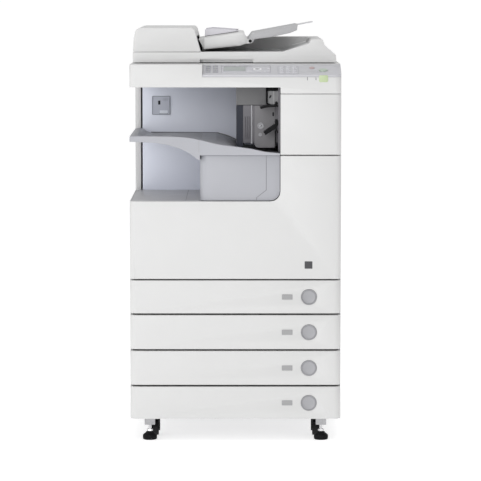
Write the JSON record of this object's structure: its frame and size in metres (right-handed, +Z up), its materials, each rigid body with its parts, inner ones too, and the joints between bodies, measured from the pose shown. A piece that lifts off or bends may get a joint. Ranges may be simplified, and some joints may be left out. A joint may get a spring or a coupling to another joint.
{
  "type": "photocopier",
  "caption": "Floor-standing office photocopier: paper drawers, recessed delivery tray, flatbed scanner under a document feeder, control panel, casters and levelling feet.",
  "frame": {"origin": "on the floor, under the middle of the body's width and depth", "axes": "+X to the machine's right as its user faces it, +Y towards its back, +Z up"},
  "size_m": [0.565, 0.68, 1.1227],
  "materials": {
    "white_plastic": "fine satin texture",
    "grey_plastic": "satin",
    "panel_grey": "satin",
    "dark_plastic": "satin",
    "black_plastic": "satin",
    "button_grey": "satin",
    "steel": "zinc-plated sheet",
    "wheel_black": "worn smooth tread",
    "platen_glass": "clear, polished",
    "display": "dark glossy window",
    "pad_white": "soft white foam-backed sheet",
    "drum_green": "polished coating",
    "fuser_red": "smooth release coating",
    "roller_rubber": "matt",
    "toner_blue": "satin",
    "start_green": "translucent key",
    "stop_red": "key"
  },
  "bodies": {
    "cabinet": {"base_pan": "steel", "left_cover": "white_plastic", "right_cover": "white_plastic", "rear_cover": "white_plastic", "left_side_frame": "steel", "right_side_frame": "steel", "engine_deck": "steel", "front_engine_plate": "steel", "rear_engine_plate": "steel", "recess_floor": "panel_grey", "recess_back_panel": "panel_grey", "delivery_housing": "dark_plastic", "output_tray": "grey_plastic", "tray_support": "grey_plastic", "scanner_housing": "white_plastic", "platen_glass": "platen_glass", "control_panel": "grey_plastic", "display_screen": "display", "power_inlet": "black_plastic"},
    "feeder": {"feeder_base": "white_plastic", "lid_pad": "pad_white"},
    "feeder_cover": {"feeder_cover": "white_plastic"},
    "document_tray": {"document_tray": "grey_plastic"},
    "tray_extension": {"tray_extension": "grey_plastic"},
    "document_guide_front": {"document_guide_front": "grey_plastic"},
    "document_guide_back": {"document_guide_back": "grey_plastic"},
    "drawer_1": {"drawer_1": "white_plastic"},
    "drawer_2": {"drawer_2": "white_plastic"},
    "drawer_3": {"drawer_3": "white_plastic"},
    "drawer_4": {"drawer_4": "white_plastic"},
    "drawer_button_1": {"drawer_button_1": "button_grey"},
    "drawer_button_2": {"drawer_button_2": "button_grey"},
    "drawer_button_3": {"drawer_button_3": "button_grey"},
    "drawer_button_4": {"drawer_button_4": "button_grey"},
    "front_cover": {"front_cover": "white_plastic"},
    "toner_cover": {"toner_cover": "white_plastic"},
    "jam_door": {"jam_door": "white_plastic"},
    "bypass_tray": {"bypass_tray": "white_plastic"},
    "power_switch": {"power_switch": "black_plastic"},
    "start_key": {"start_key": "start_green"},
    "stop_key": {"stop_key": "stop_red"},
    "scan_carriage": {"scan_carriage": "dark_plastic"},
    "drum": {"drum": "drum_green"},
    "fuser_roller": {"fuser_roller": "fuser_red"},
    "toner_bottle": {"toner_bottle": "toner_blue"},
    "exit_roller": {"exit_roller": "roller_rubber"},
    "paper_flag_upper": {"paper_flag_upper": "black_plastic"},
    "paper_flag_lower": {"paper_flag_lower": "black_plastic"},
    "caster_fork_front_left": {"caster_fork_front_left": "black_plastic"},
    "caster_wheel_front_left": {"caster_wheel_front_left": "wheel_black"},
    "brake_pedal_left": {"brake_pedal_left": "black_plastic"},
    "caster_fork_front_right": {"caster_fork_front_right": "black_plastic"},
    "caster_wheel_front_right": {"caster_wheel_front_right": "wheel_black"},
    "brake_pedal_right": {"brake_pedal_right": "black_plastic"},
    "caster_fork_back_left": {"caster_fork_back_left": "black_plastic"},
    "caster_wheel_back_left": {"caster_wheel_back_left": "wheel_black"},
    "caster_fork_back_right": {"caster_fork_back_right": "black_plastic"},
    "caster_wheel_back_right": {"caster_wheel_back_right": "wheel_black"},
    "levelling_foot_left": {"levelling_foot_left": "black_plastic"},
    "levelling_foot_right": {"levelling_foot_right": "black_plastic"}
  },
  "joints": [
    {"name": "feeder_hinge", "type": "hinge", "parent": "cabinet", "child": "feeder", "pos_m": [0, 0.322, 1.025], "axis": [-1, 0, 0], "range_deg": [0, 70]},
    {"name": "feeder_cover_hinge", "type": "hinge", "parent": "feeder", "child": "feeder_cover", "pos_m": [-0.273, -0.225, 1.0465], "axis": [0, -1, 0], "range_deg": [0, 60]},
    {"name": "document_tray_hinge", "type": "hinge", "parent": "feeder", "child": "document_tray", "pos_m": [0.04, -0.175, 1.071], "axis": [0, -1, 0], "range_deg": [0, 45]},
    {"name": "tray_extension_slide", "type": "slide", "parent": "document_tray", "child": "tray_extension", "axis": [0.9829, 0, 0.184], "range_m": [-0.045, 0]},
    {"name": "document_guide_front_slide", "type": "slide", "parent": "feeder", "child": "document_guide_front", "axis": [0, 1, 0], "range_m": [0, 0.09]},
    {"name": "document_guide_back_slide", "type": "slide", "parent": "feeder", "child": "document_guide_back", "axis": [0, -1, 0], "range_m": [0, 0.09]},
    {"name": "drawer_1_slide", "type": "slide", "parent": "cabinet", "child": "drawer_1", "axis": [0, -1, 0], "range_m": [0, 0.4]},
    {"name": "drawer_2_slide", "type": "slide", "parent": "cabinet", "child": "drawer_2", "axis": [0, -1, 0], "range_m": [0, 0.4]},
    {"name": "drawer_3_slide", "type": "slide", "parent": "cabinet", "child": "drawer_3", "axis": [0, -1, 0], "range_m": [0, 0.4]},
    {"name": "drawer_4_slide", "type": "slide", "parent": "cabinet", "child": "drawer_4", "axis": [0, -1, 0], "range_m": [0, 0.4]},
    {"name": "drawer_button_1_press", "type": "slide", "parent": "drawer_1", "child": "drawer_button_1", "axis": [0, 1, 0], "range_m": [0, 0.005], "stiffness_N_per_m": 600, "springref_m": -0.003},
    {"name": "drawer_button_2_press", "type": "slide", "parent": "drawer_2", "child": "drawer_button_2", "axis": [0, 1, 0], "range_m": [0, 0.005], "stiffness_N_per_m": 600, "springref_m": -0.003},
    {"name": "drawer_button_3_press", "type": "slide", "parent": "drawer_3", "child": "drawer_button_3", "axis": [0, 1, 0], "range_m": [0, 0.005], "stiffness_N_per_m": 600, "springref_m": -0.003},
    {"name": "drawer_button_4_press", "type": "slide", "parent": "drawer_4", "child": "drawer_button_4", "axis": [0, 1, 0], "range_m": [0, 0.005], "stiffness_N_per_m": 600, "springref_m": -0.003},
    {"name": "front_cover_hinge", "type": "hinge", "parent": "cabinet", "child": "front_cover", "pos_m": [0, -0.335, 0.44275], "axis": [1, 0, 0], "range_deg": [0, 85]},
    {"name": "toner_cover_hinge", "type": "hinge", "parent": "cabinet", "child": "toner_cover", "pos_m": [0.12, -0.335, 0.77525], "axis": [1, 0, 0], "range_deg": [0, 80]},
    {"name": "jam_door_hinge", "type": "hinge", "parent": "cabinet", "child": "jam_door", "pos_m": [0.2785, 0.246, 0.45], "axis": [0, 0, 1], "range_deg": [0, 75]},
    {"name": "bypass_tray_hinge", "type": "hinge", "parent": "jam_door", "child": "bypass_tray", "pos_m": [0.2792, -0.11, 0.563], "axis": [0, 1, 0], "range_deg": [0, 70]},
    {"name": "power_switch_rock", "type": "hinge", "parent": "cabinet", "child": "power_switch", "pos_m": [0.27548, -0.25, 0.7], "axis": [0, 1, 0], "range_deg": [-7, 7]},
    {"name": "start_key_press", "type": "slide", "parent": "cabinet", "child": "start_key", "axis": [0, 0.2666, -0.9638], "range_m": [0, 0.002], "stiffness_N_per_m": 300, "springref_m": -0.002},
    {"name": "stop_key_press", "type": "slide", "parent": "cabinet", "child": "stop_key", "axis": [0, 0.2666, -0.9638], "range_m": [0, 0.002], "stiffness_N_per_m": 300, "springref_m": -0.002},
    {"name": "scan_carriage_slide", "type": "slide", "parent": "cabinet", "child": "scan_carriage", "axis": [1, 0, 0], "range_m": [0, 0.44]},
    {"name": "drum_spin", "type": "hinge", "parent": "cabinet", "child": "drum", "pos_m": [0.205, 0, 0.6], "axis": [0, 1, 0], "continuous": true},
    {"name": "fuser_roller_spin", "type": "hinge", "parent": "cabinet", "child": "fuser_roller", "pos_m": [0.222, 0, 0.705], "axis": [0, 1, 0], "continuous": true},
    {"name": "toner_bottle_spin", "type": "hinge", "parent": "cabinet", "child": "toner_bottle", "pos_m": [0.2, 0, 0.86], "axis": [0, 1, 0], "continuous": true},
    {"name": "exit_roller_spin", "type": "hinge", "parent": "cabinet", "child": "exit_roller", "pos_m": [0.013, 0, 0.812], "axis": [0, 1, 0], "continuous": true},
    {"name": "paper_flag_upper_lift", "type": "hinge", "parent": "cabinet", "child": "paper_flag_upper", "pos_m": [0.11, -0.29, 0.906], "axis": [0, 1, 0], "range_deg": [0, 25]},
    {"name": "paper_flag_lower_lift", "type": "hinge", "parent": "cabinet", "child": "paper_flag_lower", "pos_m": [0.11, -0.29, 0.857], "axis": [0, 1, 0], "range_deg": [0, 25]},
    {"name": "caster_swivel_front_left", "type": "hinge", "parent": "cabinet", "child": "caster_fork_front_left", "pos_m": [-0.217, -0.236, 0], "axis": [0, 0, 1], "continuous": true},
    {"name": "caster_wheel_spin_front_left", "type": "hinge", "parent": "caster_fork_front_left", "child": "caster_wheel_front_left", "pos_m": [-0.217, -0.222, 0.02], "axis": [1, 0, 0], "continuous": true},
    {"name": "brake_pedal_left_tilt", "type": "hinge", "parent": "caster_fork_front_left", "child": "brake_pedal_left", "pos_m": [-0.217, -0.2485, 0.044], "axis": [1, 0, 0], "range_deg": [0, 12]},
    {"name": "caster_swivel_front_right", "type": "hinge", "parent": "cabinet", "child": "caster_fork_front_right", "pos_m": [0.217, -0.236, 0], "axis": [0, 0, 1], "continuous": true},
    {"name": "caster_wheel_spin_front_right", "type": "hinge", "parent": "caster_fork_front_right", "child": "caster_wheel_front_right", "pos_m": [0.217, -0.222, 0.02], "axis": [1, 0, 0], "continuous": true},
    {"name": "brake_pedal_right_tilt", "type": "hinge", "parent": "caster_fork_front_right", "child": "brake_pedal_right", "pos_m": [0.217, -0.2485, 0.044], "axis": [1, 0, 0], "range_deg": [0, 12]},
    {"name": "caster_swivel_back_left", "type": "hinge", "parent": "cabinet", "child": "caster_fork_back_left", "pos_m": [-0.217, 0.27, 0], "axis": [0, 0, 1], "continuous": true},
    {"name": "caster_wheel_spin_back_left", "type": "hinge", "parent": "caster_fork_back_left", "child": "caster_wheel_back_left", "pos_m": [-0.217, 0.284, 0.02], "axis": [1, 0, 0], "continuous": true},
    {"name": "caster_swivel_back_right", "type": "hinge", "parent": "cabinet", "child": "caster_fork_back_right", "pos_m": [0.217, 0.27, 0], "axis": [0, 0, 1], "continuous": true},
    {"name": "caster_wheel_spin_back_right", "type": "hinge", "parent": "caster_fork_back_right", "child": "caster_wheel_back_right", "pos_m": [0.217, 0.284, 0.02], "axis": [1, 0, 0], "continuous": true},
    {"name": "levelling_foot_left_screw", "type": "slide", "parent": "cabinet", "child": "levelling_foot_left", "axis": [0, 0, 1], "range_m": [0, 0.01]},
    {"name": "levelling_foot_right_screw", "type": "slide", "parent": "cabinet", "child": "levelling_foot_right", "axis": [0, 0, 1], "range_m": [0, 0.01]}
  ],
  "couplings": [
    {"joint": "document_guide_back_slide", "follows": "document_guide_front_slide", "ratio": 1},
    {"joint": "fuser_roller_spin", "follows": "drum_spin", "ratio": 1.5}
  ]
}
